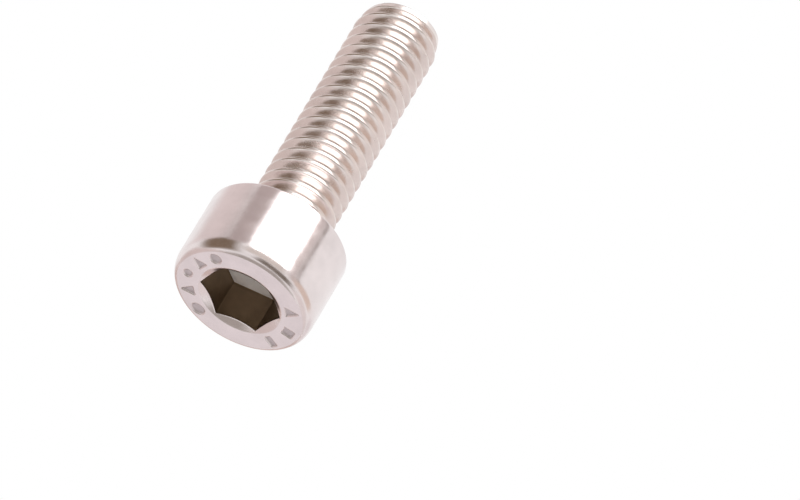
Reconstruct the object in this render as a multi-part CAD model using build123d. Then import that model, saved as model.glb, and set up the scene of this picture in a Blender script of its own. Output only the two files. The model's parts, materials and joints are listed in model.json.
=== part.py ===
from build123d import *
import math
import os

# Hex socket head cap screw, M6 x 20, threaded to the head, in the proportions of ISO 4762.
# Millimetres. The screw stands on its head: the socketed face lies on z = 0 around the
# origin, and the shank rises along +Z to the tip.

# Head
HEAD_DIAMETER = 10.0
HEAD_HEIGHT = 6.0
HEAD_EDGE_WIDTH = 0.6  # elliptical round between the socketed face and the side
HEAD_EDGE_HEIGHT = 1.0
BEARING_EDGE_RADIUS = 0.15  # round between the side and the bearing face

# Socket
SOCKET_FLATS = 5.0
SOCKET_DEPTH = 3.0  # length of the full hexagon, from the socketed face
SOCKET_TURN = 35.0  # angle of one corner of the hexagon from +X
FLOOR_DISH = 0.6  # how much deeper the middle of the floor is
FLOOR_DISH_RADIUS = 0.3  # flat at the bottom of the dish
FLOOR_RIM = 0.05  # flat between the dish and the flats of the hexagon
MOUTH_MARGIN = 0.15  # from the hexagon's corners out to the countersink's rim
MOUTH_ANGLE = 120.0  # included angle of the countersink

# Shank
SHANK_LENGTH = 20.0  # from the bearing face to the tip
THREAD_DIAMETER = 5.9  # over the crests
THREAD_PITCH = 1.0
THREAD_DEPTH_PER_PITCH = 0.565  # the profile of an ISO metric thread scales with its pitch
CREST_WIDTH_PER_PITCH = 0.125
FLANK_ANGLE = 30.0  # of each flank from the plane square to the axis
THREAD_TURN = -35.0  # angle from +X at which the thread starts, inside the neck
NECK_STEP = 0.02  # how far the plain neck stands out over the crests
NECK_LENGTH = 1.0  # plain shank under the head
NECK_FILLET = 0.3
RUN_OUT_LENGTH = 0.7  # cone where the thread fades into the neck
RUN_OUT_OVERLAP = 0.2  # how far the cone goes on under the root
TIP_STEP = 0.215  # how far the end face stands out over the root
TIP_LENGTH = 1.4  # tapered end

# Marks sunk in the flat ring round the socket: plain strokes, wedges and dots.
# Each is its shape, its angle from +X, and its size along and across the radius as shares
# of the ring's width.
MARK_DEPTH = 0.12
MARK_PLACE = 0.58  # of the way over the ring, from the socket
MARKS = (
    ("dot", 271, 0.62, 0.58),
    ("wedge", 247, 0.66, 0.60),
    ("dot", 222, 0.44, 0.50),
    ("wedge", 196, 0.68, 0.60),
    ("dot", 169, 0.64, 0.74),
    ("wedge", 18, 0.70, 0.62),
    ("stroke", 51, 0.56, 0.54),
    ("stroke", 81, 0.66, 0.34),
)

head_radius = HEAD_DIAMETER / 2
mouth_radius = SOCKET_FLATS / math.sqrt(3) + MOUTH_MARGIN
thread_radius = THREAD_DIAMETER / 2
root_radius = thread_radius - THREAD_DEPTH_PER_PITCH * THREAD_PITCH
neck_radius = thread_radius + NECK_STEP
tip_radius = root_radius + TIP_STEP
bearing_z = HEAD_HEIGHT
tip_z = HEAD_HEIGHT + SHANK_LENGTH


def head_blank():
    """The head and the plain neck as one turned body, without the socket."""
    flat = head_radius - HEAD_EDGE_WIDTH
    small = BEARING_EDGE_RADIUS
    bow = math.sqrt(0.5)
    neck_top = bearing_z + NECK_LENGTH
    run_out_top = neck_top + RUN_OUT_LENGTH
    run_out_radius = root_radius - RUN_OUT_OVERLAP
    outline = [
        Line((0, 0), (flat, 0)),
        EllipticalCenterArc(
            (flat, HEAD_EDGE_HEIGHT), HEAD_EDGE_WIDTH, HEAD_EDGE_HEIGHT, 270, arc_size=90
        ),
        Line((head_radius, HEAD_EDGE_HEIGHT), (head_radius, bearing_z - small)),
        ThreePointArc(
            (head_radius, bearing_z - small),
            (head_radius - small + small * bow, bearing_z - small + small * bow),
            (head_radius - small, bearing_z),
        ),
        Line((head_radius - small, bearing_z), (neck_radius + NECK_FILLET, bearing_z)),
        ThreePointArc(
            (neck_radius + NECK_FILLET, bearing_z),
            (
                neck_radius + NECK_FILLET - NECK_FILLET * bow,
                bearing_z + NECK_FILLET - NECK_FILLET * bow,
            ),
            (neck_radius, bearing_z + NECK_FILLET),
        ),
        Line((neck_radius, bearing_z + NECK_FILLET), (neck_radius, neck_top)),
        Line((neck_radius, neck_top), (run_out_radius, run_out_top)),
        Line((run_out_radius, run_out_top), (0, run_out_top)),
        Line((0, run_out_top), (0, 0)),
    ]
    return revolve(Plane.XZ * make_face(outline), Axis.Z)


def helix(radius, z):
    """One turn of a helix with the thread's pitch, rising from the height z."""
    turn = Edge.make_helix(THREAD_PITCH, THREAD_PITCH, radius)
    return Pos(0, 0, z) * Rot(0, 0, THREAD_TURN) * turn


def threaded_stock():
    """The threaded shank, from inside the neck to the tip and tapered there.

    Each turn is four helical faces: the crest, a flank, the root and the other flank.
    """
    crest_width = CREST_WIDTH_PER_PITCH * THREAD_PITCH
    flank_width = (thread_radius - root_radius) * math.tan(math.radians(FLANK_ANGLE))
    corners = (
        (thread_radius, 0),
        (thread_radius, crest_width),
        (root_radius, crest_width + flank_width),
        (root_radius, THREAD_PITCH - flank_width),
        (thread_radius, THREAD_PITCH),
    )
    start = bearing_z + NECK_LENGTH / 2
    turns = math.ceil((tip_z - start) / THREAD_PITCH)

    def end_faces(z):
        """The two faces that close an end: a helical one, and the profile on a half-plane."""
        axis = Edge.make_line((0, 0, z), (0, 0, z + THREAD_PITCH))
        profile = [(radius, 0, z + rise) for radius, rise in corners]
        outline = Wire.make_polygon([(0, 0, z), *profile, (0, 0, z + THREAD_PITCH)])
        return [
            Face.make_surface_from_curves(axis, helix(thread_radius, z)),
            Rot(0, 0, THREAD_TURN) * Face(outline),
        ]

    faces = end_faces(start) + end_faces(start + turns * THREAD_PITCH)
    for turn in range(turns):
        edges = [helix(radius, start + turn * THREAD_PITCH + rise) for radius, rise in corners]
        for lower, upper in zip(edges, edges[1:]):
            faces.append(Face.make_surface_from_curves(lower, upper))
    stock = Solid(Shell(faces))

    outer = neck_radius
    taper = TIP_LENGTH * (outer - tip_radius) / (thread_radius - tip_radius)
    envelope = Polyline(
        (0, start - THREAD_PITCH),
        (outer, start - THREAD_PITCH),
        (outer, tip_z - taper),
        (tip_radius, tip_z),
        (0, tip_z),
        close=True,
    )
    return stock & revolve(Plane.XZ * make_face(envelope), Axis.Z)


def socket():
    """The hexagonal hole with its dished floor and the countersink at its mouth."""
    hexagon = RegularPolygon(
        SOCKET_FLATS / 2, 6, major_radius=False, rotation=SOCKET_TURN
    )
    hole = extrude(hexagon, SOCKET_DEPTH)
    dish_z = SOCKET_DEPTH + FLOOR_DISH / 2
    dish_mouth = SOCKET_FLATS / 2 - FLOOR_RIM
    dish = Pos(0, 0, dish_z) * Cone(dish_mouth, FLOOR_DISH_RADIUS, FLOOR_DISH)
    mouth_depth = mouth_radius / math.tan(math.radians(MOUTH_ANGLE / 2))
    mouth = Pos(0, 0, mouth_depth / 2) * Cone(mouth_radius, 0, mouth_depth)
    return hole + dish + mouth


def mark(shape, angle, along_share, across_share):
    """One mark, as the solid to sink into the socketed face."""
    ring_outer = head_radius - HEAD_EDGE_WIDTH
    ring_width = ring_outer - mouth_radius
    along = along_share * ring_width
    across = across_share * ring_width
    if shape == "stroke":
        outline = Rectangle(along, across)
    elif shape == "dot":
        outline = Ellipse(along / 2, across / 2)
    else:
        outline = make_face(
            Polyline(
                (-along / 2, -across / 2),
                (along / 2, 0),
                (-along / 2, across / 2),
                close=True,
            )
        )
    place = Rot(0, 0, angle) * Pos(mouth_radius + MARK_PLACE * ring_width, 0, 0)
    return place * extrude(outline, MARK_DEPTH)


screw = head_blank() + threaded_stock() - socket()
for shape, angle, along_share, across_share in MARKS:
    screw -= mark(shape, angle, along_share, across_share)

os.makedirs("parts", exist_ok=True)
export_step(screw, "parts/cap_screw.step")
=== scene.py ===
"""Looks of the hex socket cap screw: camera, studio, floor and the steel of every surface.

Metres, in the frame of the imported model: the screw stands on its socketed face at z = 0 and
its thread rises along +Z. The main camera looks up at the socketed face from below the floor.
"""

import json
import math

import bmesh
import bpy
import numpy as np
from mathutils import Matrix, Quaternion, Vector


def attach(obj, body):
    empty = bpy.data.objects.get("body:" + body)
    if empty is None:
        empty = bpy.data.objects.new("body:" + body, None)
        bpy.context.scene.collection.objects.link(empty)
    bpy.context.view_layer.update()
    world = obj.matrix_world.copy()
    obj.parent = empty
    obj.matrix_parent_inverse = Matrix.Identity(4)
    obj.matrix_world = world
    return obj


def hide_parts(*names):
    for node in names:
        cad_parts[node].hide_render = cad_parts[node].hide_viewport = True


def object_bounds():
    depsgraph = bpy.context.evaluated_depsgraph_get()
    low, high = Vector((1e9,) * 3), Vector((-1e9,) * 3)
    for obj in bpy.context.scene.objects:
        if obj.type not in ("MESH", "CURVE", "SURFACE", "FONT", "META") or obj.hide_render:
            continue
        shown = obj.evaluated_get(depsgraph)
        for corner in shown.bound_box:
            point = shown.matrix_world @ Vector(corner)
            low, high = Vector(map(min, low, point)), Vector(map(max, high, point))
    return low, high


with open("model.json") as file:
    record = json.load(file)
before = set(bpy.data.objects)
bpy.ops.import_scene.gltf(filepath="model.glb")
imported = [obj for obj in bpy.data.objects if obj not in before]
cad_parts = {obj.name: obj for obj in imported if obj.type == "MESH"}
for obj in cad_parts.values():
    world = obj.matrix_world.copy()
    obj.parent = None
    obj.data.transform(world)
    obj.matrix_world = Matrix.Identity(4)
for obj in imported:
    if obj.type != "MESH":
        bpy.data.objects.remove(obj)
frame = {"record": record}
CAD_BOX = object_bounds()

MM = 0.001
MOUNTS = {mount["name"]: mount for mount in frame["record"]["mounts"]}

# Screw, in millimetres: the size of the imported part, and the dimensions it was built from
HEAD_RADIUS = MOUNTS["head_side"]["dims"]["r_mm"]
HEAD_HEIGHT = MOUNTS["bearing_face"]["pos_m"][2] / MM
TIP_HEIGHT = CAD_BOX[1].z / MM
HEAD_EDGE_WIDTH = 0.6
HEAD_EDGE_HEIGHT = 1.0
BEARING_EDGE_RADIUS = 0.15
SOCKET_DEPTH = MOUNTS["hex_socket"]["dims"]["length_mm"]
SOCKET_FLATS = 5.0
SOCKET_TURN = 35.0  # degrees from +X to a corner of the hexagon
FLOOR_DISH = 0.6
FLOOR_DISH_FLAT = 0.3
FLOOR_RIM = 0.05
MOUTH_MARGIN = 0.15
MOUTH_ANGLE = 120.0
NECK_RADIUS = MOUNTS["neck"]["dims"]["r_mm"]
NECK_LENGTH = 1.0
NECK_FILLET = 0.3
RUN_OUT_LENGTH = 0.7
CREST_RADIUS = MOUNTS["thread"]["dims"]["r_mm"]
THREAD_PITCH = 1.0
THREAD_DEPTH = 0.565
CREST_WIDTH = 0.125
FLANK_ANGLE = 30.0
THREAD_TURN = -35.0  # degrees from +X to the start of the thread
TIP_RADIUS = 2.6
TIP_LENGTH = 1.4

ring_outer = HEAD_RADIUS - HEAD_EDGE_WIDTH
mouth_radius = SOCKET_FLATS / math.sqrt(3) + MOUTH_MARGIN
ring_width = ring_outer - mouth_radius
root_radius = CREST_RADIUS - THREAD_DEPTH
flank_width = THREAD_DEPTH * math.tan(math.radians(FLANK_ANGLE))
shank_start = HEAD_HEIGHT + NECK_LENGTH / 2

# Edges that handling and rolling have softened, in millimetres
SOCKET_SOFTENING = 0.05
MOUTH_SOFTENING = 0.1
FLOOR_SOFTENING = 0.02
DISH_SOFTENING = 0.15
TIP_SOFTENING = 0.04
THREAD_SOFTENING = 0.06  # as a share of the flank

# Marks pressed into the socketed face: shape, angle from +X, and size along and across the
# radius as shares of the ring between the socket and the head's edge
MARK_DEPTH = 0.12
MARK_SOFTENING = 0.1
MARK_PLACE = 0.58  # of the way over the ring, from the socket
MARKS = (
    ("dot", 271, 0.62, 0.58),
    ("wedge", 247, 0.66, 0.60),
    ("dot", 222, 0.44, 0.50),
    ("wedge", 196, 0.68, 0.60),
    ("dot", 169, 0.64, 0.74),
    ("wedge", 18, 0.70, 0.62),
    ("stroke", 51, 0.56, 0.54),
    ("stroke", 81, 0.66, 0.34),
)

# Mesh. Three columns of the head meet each column of the shank.
HEAD_COLUMNS = 378
SHANK_COLUMNS = 126
ROWS_PER_PITCH = 24
INNERMOST_RADIUS = 0.02  # millimetres, of the flat that closes the mesh at the socket's floor
TIP_RINGS = (0.98, 0.9, 0.7, 0.4, 0.02)  # shares of the end face's radius
TIP_EDGE_ROW = 0.3  # share of the softening at which a row holds the tip's edge
SIDE_FINISH_LENGTH = 1.0  # millimetres of the head, up to the bearing face
FACE_TOLERANCE = 1e-6  # millimetres within which a point lies on the socketed face
MERGE_DISTANCE = 1e-7  # metres; joins the points where helical rows run into each other

# Steel: each surface's colour, roughness, and lines with their depth in millimetres
BRIGHT = (0.8, 0.72, 0.715)
FINISHES = {
    "socket_floor": {
        "colour": (0.9, 0.84, 0.8), "roughness": 0.4, "lines": "rings", "line_depth": 0.01,
        "stain": 0.7, "metallic": 0.4,
    },
    # Painted shade: the socket walls' dark brown colour stands for the shade deep in the socket
    "socket_wall": {
        "colour": (0.29, 0.21, 0.135), "roughness": 0.38, "lines": "along", "line_depth": 0.01,
        "stain": 0.75,
    },
    "face": {
        "colour": BRIGHT, "roughness": 0.18, "lines": "rings", "line_depth": 0.002,
        "marks": True,
    },
    "side": {"colour": BRIGHT, "roughness": 0.14, "lines": "along", "line_depth": 0.002},
    "thread": {
        "colour": (0.82, 0.745, 0.715), "roughness": 0.22, "lines": "round",
        "line_depth": 0.004,
    },
    "tip": {
        "colour": (0.6, 0.54, 0.52), "roughness": 0.1, "lines": "rings", "line_depth": 0.002,
    },
}
STAIN_SCALE = 0.55  # noise scales are per millimetre
STAIN_RANGE = (0.35, 0.7)
WEAR_SCALE = 1.4
WEAR_DETAIL = 5.0
WEAR_RANGE = (0.3, 0.7)
WEAR_ROUGHNESS = (0.8, 1.3)  # least and most, as shares of the finish's roughness
GRAIN_SCALE = 9.0
GRAIN_DETAIL = 6.0
GRAIN_STRENGTH = 0.12
GRAIN_DEPTH = 0.01
RING_SCALE = 9.0
LINE_SCALE = 5.0
LINE_DETAIL = 4.0
LINE_STRENGTH = 0.5
LINE_STRETCH = {"along": (1, 1, 0.06), "round": (0.08, 0.08, 1)}
# Painted shade: the darker colour in the pressed marks, fuller where they lie deeper
MARK_SHADE_COLOUR = (0.58, 0.52, 0.525)
MARK_ROUGHNESS = 0.3  # how much rougher the steel is in the marks
MARK_TONE_DEPTHS = (0.015, 0.09)  # depths at which a mark's painted shade and extra roughness begin and are full
MARK_TONE_EDGE = 0.01  # how far the ring's edges fade the painted shade and extra roughness of the marks

# Camera
CAMERA_AZIMUTH = 45.4  # degrees from the direction that looks along +Y
CAMERA_ELEVATION = -35.7  # below the floor, looking up at the socketed face
CAMERA_ROLL = 30.4  # leans the screw to the right
CAMERA_DISTANCE = 500 * MM
CLIP_RANGE = 10  # times nearer and farther than the camera's distance
SENSOR_WIDTH = 36 * MM
VIEW_WIDTH = 52.2 * MM  # width of the picture where the socketed face is
FACE_RIGHT = -10.49 * MM  # the face's centre from the middle of the picture
FACE_UP = -3.33 * MM

# Floor
FLOOR_DROP = 0.02 * MM  # keeps the floor off the face that stands on it
FLOOR_RADIUS = 400 * MM
FLOOR_CORNERS = 64
FLOOR_TONE = (0.8, 0.8, 0.8, 1)
FLOOR_FADE_START = 0.2  # share of the radius beyond which the floor fades out

# Studio: the key light and the cards hang on a sphere round the screw. Angles are in degrees
# from the main camera's azimuth and from level.
STUDIO_RADIUS = 0.3
SCREW_CENTRE = (CAD_BOX[0] + CAD_BOX[1]) / 2
KEY_AZIMUTH = 7
KEY_ELEVATION = 47
KEY_WIDTH = 0.33
KEY_HEIGHT = 0.32
KEY_BRIGHTNESS = 3.0

# Cards: name, azimuth, elevation, width and height in degrees, tone, and the share of the
# card over which each edge fades
CARDS = (
    ("brown_card", -68, -4, 72, 90, (0.23, 0.17, 0.12), 0.3),
    ("left_band", -48, 44, 34, 50, (0.54, 0.47, 0.455), 0.2),
    ("left_wall", -100, 44, 66, 70, (0.82, 0.74, 0.73), 0.35),
    ("left_low_card", -125, -35, 60, 70, (0.74, 0.64, 0.62), 0.3),
    ("right_band", 48, 30, 14, 70, (0.66, 0.59, 0.57), 0.15),
    ("right_line", 60, 34, 8, 70, (0.36, 0.32, 0.3), 0.35),
    ("right_card", 78, 8, 64, 34, (0.8, 0.67, 0.59), 0.2),
    ("right_low_card", 110, -34, 90, 46, (0.86, 0.8, 0.79), 0.3),
    ("right_rear_card", 138, 4, 50, 32, (0.9, 0.85, 0.86), 0.3),
    ("front_card", 2, 1, 76, 36, (0.76, 0.71, 0.66), 0.2),
    ("grey_card", 24, -34, 74, 44, (0.22, 0.19, 0.16), 0.25),
    ("under_card", 0, -88, 70, 70, (0.44, 0.41, 0.38), 0.3),
    ("rear_card", 180, -42, 80, 40, (0.88, 0.84, 0.86), 0.15),
    ("rear_low_card", 180, -4, 80, 42, (0.68, 0.54, 0.5), 0.25),
)


def direction(azimuth, elevation):
    """The unit vector towards a place in the studio, with the camera's own angles."""
    a = math.radians(azimuth)
    e = math.radians(elevation)
    return Vector((math.sin(a) * math.cos(e), -math.cos(a) * math.cos(e), math.sin(e)))


def add_camera():
    lens = bpy.data.cameras.new("camera")
    lens.sensor_width = SENSOR_WIDTH / MM
    lens.lens = lens.sensor_width * CAMERA_DISTANCE / VIEW_WIDTH
    lens.clip_start = CAMERA_DISTANCE / CLIP_RANGE
    lens.clip_end = CAMERA_DISTANCE * CLIP_RANGE
    camera = bpy.data.objects.new("camera", lens)
    back = direction(CAMERA_AZIMUTH, CAMERA_ELEVATION)
    upright = (-back).to_track_quat("-Z", "Y")
    turned = upright @ Quaternion((0, 0, 1), math.radians(CAMERA_ROLL))
    aim = turned @ Vector((-FACE_RIGHT, -FACE_UP, 0))
    camera.rotation_mode = "QUATERNION"
    camera.rotation_quaternion = turned
    camera.location = aim + back * CAMERA_DISTANCE
    bpy.context.scene.collection.objects.link(camera)
    bpy.context.scene.camera = camera


def angles(count):
    """The angles of a row's points, which start at a corner of the hexagon."""
    return math.radians(SOCKET_TURN) + math.tau * np.arange(count) / count


def ring(radius, height, angle):
    """One closed row of points, whose radius and height may change round the axis."""
    radius = radius + np.zeros_like(angle)
    height = height + np.zeros_like(angle)
    return np.stack([radius * np.cos(angle), radius * np.sin(angle), height], axis=1)


def softened_path(corners, angle):
    """Rows along a path of corners (radius, height, softening, rows in the round, rows to
    the next corner). A corner is rounded from its softening before it to the same after it,
    or to the second of two."""
    points = [np.stack(np.broadcast_arrays(r, z + 0 * angle), axis=1) for r, z, *_ in corners]
    rows = [points[0]]
    for i in range(1, len(corners)):
        is_last = i + 1 == len(corners)
        here = points[i]
        entry = here
        if not is_last:
            softening_before, softening_after = np.broadcast_to(corners[i][2], 2)
            inward = points[i - 1] - here
            outward = points[i + 1] - here
            length_in = np.linalg.norm(inward, axis=1, keepdims=True)
            length_out = np.linalg.norm(outward, axis=1, keepdims=True)
            entry = here + inward / length_in * softening_before
            leaving = here + outward / length_out * softening_after
            turn = -np.sum(inward * outward, axis=1, keepdims=True) / length_in / length_out
            weight = np.sqrt((1 + turn) / 2)
        last = rows[-1]
        straight_rows = corners[i - 1][4]
        for k in range(1, straight_rows + 1):
            share = (1 - math.cos(math.pi * k / straight_rows)) / 2
            rows.append(last + (entry - last) * share)
        if not is_last:
            round_rows = corners[i][3]
            for k in range(1, round_rows + 1):
                t = k / round_rows
                pull = 2 * weight * t * (1 - t)
                bent = (1 - t) ** 2 * entry + pull * here + t**2 * leaving
                rows.append(bent / ((1 - t) ** 2 + pull + t**2))
    return rows


def mark_depth(radius, angle):
    """How deep the marks lie at each point of the socketed face."""
    depth = np.zeros_like(angle)
    for shape, turn, along_share, across_share in MARKS:
        half_along = along_share * ring_width / 2
        half_across = across_share * ring_width / 2
        swing = (angle - math.radians(turn) + math.pi) % math.tau - math.pi
        along = radius - (mouth_radius + MARK_PLACE * ring_width)
        across = radius * swing
        if shape == "dot":
            far = np.hypot(along / half_along, across / half_across)
            inside = (1 - far) * min(half_along, half_across)
        elif shape == "stroke":
            inside = np.minimum(half_along - np.abs(along), half_across - np.abs(across))
        else:
            slope = half_across * (half_along - along) / (2 * half_along)
            inside = np.minimum(half_along - np.abs(along), slope - np.abs(across))
        pressed = np.clip(inside / MARK_SOFTENING + 0.5, 0, 1)
        depth = np.maximum(depth, MARK_DEPTH * pressed * pressed * (3 - 2 * pressed))
    return depth


def soft_ramp(share):
    """From 0 to 1 like a clamped share, with both of its corners rounded."""
    def bend(x):
        return THREAD_SOFTENING * np.logaddexp(0, x / THREAD_SOFTENING)
    return bend(share) - bend(share - 1)


def shank_radius(height, angle):
    """Radius of the shank: neck, cone of the run-out, rolled thread and tapered tip."""
    rise = CREST_WIDTH / 2 + THREAD_PITCH * (angle - math.radians(THREAD_TURN)) / math.tau
    turns = (height - shank_start - rise) / THREAD_PITCH
    from_crest = np.abs(turns - np.round(turns)) * THREAD_PITCH
    sunk = soft_ramp((from_crest - CREST_WIDTH / 2) / flank_width)
    thread = CREST_RADIUS - THREAD_DEPTH * sunk
    run_out = (height - HEAD_HEIGHT - NECK_LENGTH) / RUN_OUT_LENGTH
    cone = NECK_RADIUS - run_out * (NECK_RADIUS - root_radius)
    radius = np.maximum(thread, np.minimum(cone, NECK_RADIUS))
    taper = TIP_RADIUS + (CREST_RADIUS - TIP_RADIUS) * (TIP_HEIGHT - height) / TIP_LENGTH
    return np.minimum(radius, taper)


def head_bands():
    """The rows of the head from the socket's floor to the neck, with each stretch's finish."""
    angle = angles(HEAD_COLUMNS)
    sixth = math.tau / 6
    from_corner = (angle - math.radians(SOCKET_TURN)) % sixth
    hexagon = SOCKET_FLATS / 2 / np.cos(from_corner - sixth / 2)
    mouth_depth = (mouth_radius - hexagon) / math.tan(math.radians(MOUTH_ANGLE / 2))
    wall_end = mouth_depth + SOCKET_SOFTENING
    dish_top = SOCKET_DEPTH + FLOOR_DISH
    dish_radius = SOCKET_FLATS / 2 - FLOOR_RIM
    floor_edge = hexagon - FLOOR_SOFTENING
    side_end = HEAD_HEIGHT - SIDE_FINISH_LENGTH
    stretches = (
        ("socket_floor", [
            (INNERMOST_RADIUS, dish_top, 0, 0, 2),
            (FLOOR_DISH_FLAT, dish_top, DISH_SOFTENING, 2, 6),
            (dish_radius, SOCKET_DEPTH, FLOOR_SOFTENING, 1, 2),
            (floor_edge, SOCKET_DEPTH, 0, 0, 0),
        ]),
        ("socket_wall", [
            (floor_edge, SOCKET_DEPTH, 0, 0, 1),
            (hexagon, SOCKET_DEPTH - FLOOR_SOFTENING, 0, 1, 5),
            (hexagon, wall_end, 0, 0, 0),
        ]),
        ("face", [
            (hexagon, wall_end, 0, 0, 0),
            (hexagon, mouth_depth, SOCKET_SOFTENING, 3, 4),
            (mouth_radius, 0, MOUTH_SOFTENING, 4, 24),
            (ring_outer, 0, 0, 0, 0),
            (HEAD_RADIUS, 0, (HEAD_EDGE_WIDTH, HEAD_EDGE_HEIGHT), 14, 6),
            (HEAD_RADIUS, side_end, 0, 0, 0),
        ]),
        ("side", [
            (HEAD_RADIUS, side_end, 0, 0, 3),
            (HEAD_RADIUS, HEAD_HEIGHT, BEARING_EDGE_RADIUS, 4, 6),
            (NECK_RADIUS, HEAD_HEIGHT, NECK_FILLET, 5, 2),
            (NECK_RADIUS, shank_start, 0, 0, 0),
        ]),
    )
    for finish, corners in stretches:
        rows = []
        for row in softened_path(corners, angle):
            radius, height = row[:, 0], row[:, 1]
            on_face = (height < FACE_TOLERANCE) & (radius > mouth_radius) & (radius < ring_outer)
            height = np.where(on_face, mark_depth(radius, angle), height)
            rows.append(ring(radius, height, angle))
        yield finish, rows


def shank_rows():
    """Rows that follow the helix of the thread, held between the neck and the tip.

    A row rises by one pitch in a turn and goes on as the row that is ROWS_PER_PITCH later.
    """
    angle = angles(SHANK_COLUMNS)
    climb = THREAD_PITCH * np.arange(SHANK_COLUMNS) / SHANK_COLUMNS
    top = TIP_HEIGHT - TIP_SOFTENING
    count = math.ceil((top - shank_start) / THREAD_PITCH * ROWS_PER_PITCH)
    rows = []
    for i in range(-ROWS_PER_PITCH, count + 1):
        level = shank_start + i * THREAD_PITCH / ROWS_PER_PITCH
        height = np.clip(level + climb, shank_start, top)
        rows.append(ring(shank_radius(height, angle), height, angle))
    return rows


def tip_rows():
    """The rows of the tip's softened edge and flat end."""
    angle = angles(SHANK_COLUMNS)
    end = shank_radius(TIP_HEIGHT, angle)
    inset = TIP_EDGE_ROW * TIP_SOFTENING
    rows = [ring(end - inset, TIP_HEIGHT - inset, angle)]
    for share in TIP_RINGS:
        rows.append(ring(end * share, TIP_HEIGHT, angle))
    return rows


def build_screw(finishes):
    """The whole screw as one closed mesh of rings, from the socket's floor to the tip."""
    points = []
    faces = []
    slots = []
    names = list(finishes)

    def add_row(row):
        points.extend(map(tuple, row * MM))
        return range(len(points) - len(row), len(points))

    def add_cap(corners, finish):
        faces.append(tuple(corners))
        slots.append(names.index(finish))

    def bridge(lower, upper, finish, lower_next=None, upper_next=None):
        """Faces from one row to the next, which has as many points or a third of them. The
        two last values are the points that follow the ends of the rows, which are their own
        first points unless they are given."""
        ratio = len(lower) // len(upper)
        lower = [*lower, lower[0] if lower_next is None else lower_next]
        upper = [*upper, upper[0] if upper_next is None else upper_next]
        for j in range(len(upper) - 1):
            near = lower[ratio * j:ratio * (j + 1) + 1]
            far = upper[j:j + 2]
            if ratio == 1:
                faces.append((near[0], near[1], far[1], far[0]))
            else:
                faces.append((near[0], near[1], far[0]))
                faces.append((near[1], near[2], far[1], far[0]))
                faces.append((near[2], near[3], far[1]))
        slots.extend([names.index(finish)] * (len(faces) - len(slots)))

    last = None
    for finish, rows in head_bands():
        for row in rows:
            this = add_row(row)
            if last is None:
                add_cap(reversed(this), finish)
            else:
                bridge(last, this, finish)
            last = this

    shank = [add_row(row) for row in shank_rows()]
    bridge(last, shank[0], "side")
    for i in range(len(shank) - 1):
        after = [shank[min(k + ROWS_PER_PITCH, len(shank) - 1)][0] for k in (i, i + 1)]
        bridge(shank[i], shank[i + 1], "thread", *after)
    last = shank[-1]
    for row in tip_rows():
        this = add_row(row)
        bridge(last, this, "tip")
        last = this
    add_cap(last, "tip")

    mesh = bpy.data.meshes.new("screw")
    mesh.from_pydata(points, [], faces)
    mesh.polygons.foreach_set("material_index", slots)
    for finish in finishes.values():
        mesh.materials.append(finish)
    joined = bmesh.new()
    joined.from_mesh(mesh)
    bmesh.ops.remove_doubles(joined, verts=joined.verts, dist=MERGE_DISTANCE)
    joined.to_mesh(mesh)
    joined.free()
    mesh.shade_smooth()
    screw = bpy.data.objects.new("screw", mesh)
    bpy.context.scene.collection.objects.link(screw)
    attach(screw, "root")
    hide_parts("cap_screw")


def link_node(tree, kind, inputs=(), **settings):
    """A new node. Its settings are given by name, and its inputs by name or number, each a
    value or a socket."""
    made = tree.nodes.new(kind)
    for name, value in settings.items():
        setattr(made, name, value)
    for name, value in dict(inputs).items():
        if isinstance(value, bpy.types.NodeSocket):
            tree.links.new(value, made.inputs[name])
        else:
            made.inputs[name].default_value = value
    return made


def new_material(name):
    """A material and its tree, emptied of every node."""
    material = bpy.data.materials.new(name)
    material.use_nodes = True
    material.node_tree.nodes.clear()
    return material, material.node_tree


def noise(tree, vector, scale, detail=3.0):
    made = link_node(
        tree, "ShaderNodeTexNoise", {"Vector": vector, "Scale": scale, "Detail": detail}
    )
    return made.outputs["Fac"]


def ramp(tree, value, from_min, from_max, to_min=0.0, to_max=1.0, smooth=False):
    made = link_node(
        tree,
        "ShaderNodeMapRange",
        {
            "Value": value,
            "From Min": from_min,
            "From Max": from_max,
            "To Min": to_min,
            "To Max": to_max,
        },
        interpolation_type="SMOOTHSTEP" if smooth else "LINEAR",
    )
    return made.outputs["Result"]


def calculate(tree, operation, *values):
    made = link_node(tree, "ShaderNodeMath", dict(enumerate(values)), operation=operation)
    return made.outputs["Value"]


def length_of(tree, vector):
    made = link_node(tree, "ShaderNodeVectorMath", {0: vector}, operation="LENGTH")
    return made.outputs["Value"]


def mix_colour(tree, share, one, other):
    made = link_node(tree, "ShaderNodeMix", data_type="RGBA")
    colour_sockets = (made.inputs[0], made.inputs[6], made.inputs[7])
    for socket, value in zip(colour_sockets, (share, one, other)):
        if isinstance(value, bpy.types.NodeSocket):
            tree.links.new(value, socket)
        else:
            socket.default_value = (*value, 1)
    return made.outputs[2]


def millimetres(tree):
    """The place on the screw, in millimetres."""
    place = link_node(tree, "ShaderNodeTexCoord").outputs["Object"]
    scaled = link_node(
        tree, "ShaderNodeVectorMath", {0: place, "Scale": 1 / MM}, operation="SCALE"
    )
    return scaled.outputs["Vector"]


def bump(tree, height, strength, depth, normal=None):
    """The normal of a surface that a texture raises by up to a depth in millimetres."""
    inputs = {"Height": height, "Strength": strength, "Distance": depth * MM}
    if normal is not None:
        inputs["Normal"] = normal
    return link_node(tree, "ShaderNodeBump", inputs).outputs["Normal"]


def mark_cover(tree, radius, height):
    """Where the marks are, from 0 to 1, by how deep the ring lies under its face."""
    sunk = ramp(tree, height, *MARK_TONE_DEPTHS)
    past_mouth = ramp(tree, radius, mouth_radius, mouth_radius + MARK_TONE_EDGE)
    short_of_edge = ramp(tree, radius, ring_outer, ring_outer - MARK_TONE_EDGE)
    ringed = calculate(tree, "MULTIPLY", past_mouth, short_of_edge)
    return calculate(tree, "MULTIPLY", ringed, sunk)


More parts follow.
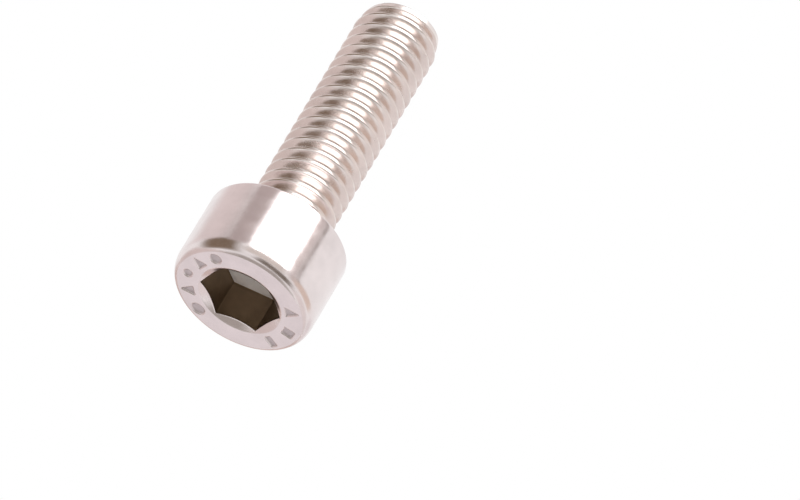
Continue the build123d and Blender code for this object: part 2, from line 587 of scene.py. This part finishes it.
def steel(name, colour, roughness, lines, line_depth, marks=False, stain=0.9, metallic=1.0):
    """Polished stainless steel with faint stains, worn grain and drawn or turned lines.

    Lines run "along" the axis, "round" it, or in "rings" on a face square to it.
    """
    material = bpy.data.materials.new(name)
    material.use_nodes = True
    tree = material.node_tree
    shader = tree.nodes["Principled BSDF"]
    shader.inputs["Metallic"].default_value = metallic
    place = millimetres(tree)
    axes = link_node(tree, "ShaderNodeSeparateXYZ", {"Vector": place})
    flat = link_node(
        tree, "ShaderNodeCombineXYZ", {"X": axes.outputs["X"], "Y": axes.outputs["Y"]}
    )
    radius = length_of(tree, flat.outputs["Vector"])

    cloud = ramp(tree, noise(tree, place, STAIN_SCALE), *STAIN_RANGE)
    tinted = tuple(channel * stain for channel in colour)
    paint = mix_colour(tree, cloud, colour, tinted)
    least, most = (share * roughness for share in WEAR_ROUGHNESS)
    worn = ramp(tree, noise(tree, place, WEAR_SCALE, WEAR_DETAIL), *WEAR_RANGE, least, most)

    if lines == "rings":
        across = link_node(tree, "ShaderNodeCombineXYZ", {"X": radius})
        line_scale = RING_SCALE
    else:
        across = link_node(
            tree,
            "ShaderNodeVectorMath",
            {0: place, 1: LINE_STRETCH[lines]},
            operation="MULTIPLY",
        )
        line_scale = LINE_SCALE
    grain = noise(tree, place, GRAIN_SCALE, GRAIN_DETAIL)
    drawn = noise(tree, across.outputs["Vector"], line_scale, LINE_DETAIL)
    grained = bump(tree, grain, GRAIN_STRENGTH, GRAIN_DEPTH)
    normal = bump(tree, drawn, LINE_STRENGTH, line_depth, grained)

    if marks:
        pressed = mark_cover(tree, radius, axes.outputs["Z"])
        # painted shade darkens the marks, more where they lie deeper; they are rougher as well
        paint = mix_colour(tree, pressed, paint, MARK_SHADE_COLOUR)
        worn = calculate(tree, "MULTIPLY_ADD", pressed, MARK_ROUGHNESS, worn)
    tree.links.new(paint, shader.inputs["Base Color"])
    tree.links.new(worn, shader.inputs["Roughness"])
    tree.links.new(normal, shader.inputs["Normal"])
    return material


def white_world():
    world = bpy.data.worlds.new("studio")
    world.use_nodes = True
    background = world.node_tree.nodes["Background"]
    background.inputs["Color"].default_value = (1, 1, 1, 1)
    background.inputs["Strength"].default_value = 1
    bpy.context.scene.world = world


def face_the_screw(thing, azimuth, elevation):
    """Hangs a light or a card in the studio, square to the line to the screw."""
    out = direction(CAMERA_AZIMUTH + azimuth, elevation)
    thing.location = SCREW_CENTRE + out * STUDIO_RADIUS
    thing.rotation_mode = "QUATERNION"
    thing.rotation_quaternion = out.to_track_quat("Z", "Y")


def add_key_light():
    """A rectangular light that no camera sees, KEY_BRIGHTNESS times as bright as white."""
    data = bpy.data.lights.new("key_light", "AREA")
    data.shape = "RECTANGLE"
    data.size = KEY_WIDTH
    data.size_y = KEY_HEIGHT
    data.energy = KEY_BRIGHTNESS * math.pi * KEY_WIDTH * KEY_HEIGHT
    light = bpy.data.objects.new("key_light", data)
    face_the_screw(light, KEY_AZIMUTH, KEY_ELEVATION)
    light.visible_camera = False
    bpy.context.scene.collection.objects.link(light)


def mixed_surface(tree, share, one, other):
    """Ends a material in a mix of two shaders."""
    mixed = link_node(tree, "ShaderNodeMixShader", {"Fac": share, 1: one, 2: other})
    link_node(tree, "ShaderNodeOutputMaterial", {"Surface": mixed.outputs["Shader"]})


def card_material(name, colour, softness):
    """A card of one tone that fades out towards its edges."""
    material, tree = new_material(name)
    place = link_node(tree, "ShaderNodeTexCoord").outputs["Generated"]
    axes = link_node(tree, "ShaderNodeSeparateXYZ", {"Vector": place})
    fades = []
    for axis in ("X", "Y"):
        from_edge = calculate(tree, "PINGPONG", axes.outputs[axis], 0.5)
        fades.append(ramp(tree, from_edge, 0, softness, smooth=True))
    cover = calculate(tree, "MULTIPLY", *fades)
    clear = link_node(tree, "ShaderNodeBsdfTransparent").outputs["BSDF"]
    tone = link_node(tree, "ShaderNodeEmission", {"Color": (*colour, 1)}).outputs["Emission"]
    mixed_surface(tree, cover, clear, tone)
    return material


def add_card(name, azimuth, elevation, width, height, colour, softness):
    """A toned card that only reflections see, as large as width and height in degrees."""
    half_width = STUDIO_RADIUS * math.tan(math.radians(width / 2))
    half_height = STUDIO_RADIUS * math.tan(math.radians(height / 2))
    signs = ((-1, -1), (1, -1), (1, 1), (-1, 1))
    corners = [(x * half_width, y * half_height, 0) for x, y in signs]
    mesh = bpy.data.meshes.new(name)
    mesh.from_pydata(corners, [], [(0, 1, 2, 3)])
    mesh.materials.append(card_material(name, colour, softness))
    card = bpy.data.objects.new(name, mesh)
    face_the_screw(card, azimuth, elevation)
    card.visible_camera = False
    card.visible_diffuse = False
    card.visible_shadow = False
    card.visible_transmission = False
    bpy.context.scene.collection.objects.link(card)


def floor_material():
    """Pale from above, clear from below, and faded out towards the rim."""
    material, tree = new_material("floor")
    place = link_node(tree, "ShaderNodeTexCoord").outputs["Object"]
    inner = FLOOR_FADE_START * FLOOR_RADIUS
    fade = ramp(tree, length_of(tree, place), inner, FLOOR_RADIUS, smooth=True)
    behind = link_node(tree, "ShaderNodeNewGeometry").outputs["Backfacing"]
    unseen = calculate(tree, "MAXIMUM", behind, fade)
    paint = link_node(tree, "ShaderNodeBsdfDiffuse", {"Color": FLOOR_TONE}).outputs["BSDF"]
    clear = link_node(tree, "ShaderNodeBsdfTransparent").outputs["BSDF"]
    mixed_surface(tree, unseen, paint, clear)
    return material


def add_floor():
    """A floor that the cameras above it see, and that lights and reflections ignore."""
    mesh = bpy.data.meshes.new("floor")
    rim = ring(FLOOR_RADIUS, -FLOOR_DROP, angles(FLOOR_CORNERS))
    mesh.from_pydata(rim.tolist(), [], [tuple(range(FLOOR_CORNERS))])
    mesh.materials.append(floor_material())
    floor = bpy.data.objects.new("floor", mesh)
    floor.visible_glossy = False
    floor.visible_diffuse = False
    floor.visible_shadow = False
    floor.visible_transmission = False
    bpy.context.scene.collection.objects.link(floor)


add_camera()
white_world()
add_key_light()
for card in CARDS:
    add_card(*card)
add_floor()
build_screw({name: steel(name, **finish) for name, finish in FINISHES.items()})

bpy.context.scene.view_settings.view_transform = "Standard"
